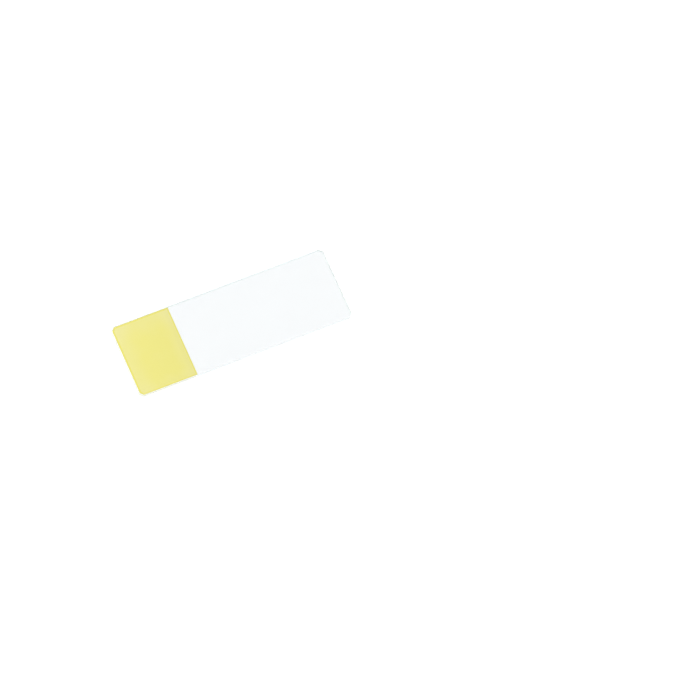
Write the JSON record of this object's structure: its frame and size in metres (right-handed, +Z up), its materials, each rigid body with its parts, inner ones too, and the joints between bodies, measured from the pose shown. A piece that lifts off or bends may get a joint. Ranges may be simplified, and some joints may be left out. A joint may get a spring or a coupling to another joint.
{
  "type": "microscope slide",
  "caption": "Flat rectangular glass slide with clipped corners, ground edges and a coloured matte writing end, for holding a specimen under a microscope.",
  "frame": {"origin": "middle of the underside of the glass, with the slide lying flat", "axes": "+X along the length from the coated end to the clear end, +Y across the width, +Z up out of the coated face"},
  "size_m": [0.075, 0.025, 0.001],
  "materials": {
    "glass": "gloss",
    "coat": "matte"
  },
  "bodies": {
    "root": {"glass_plate": "glass", "writing_coat": "coat"}
  },
  "joints": []
}
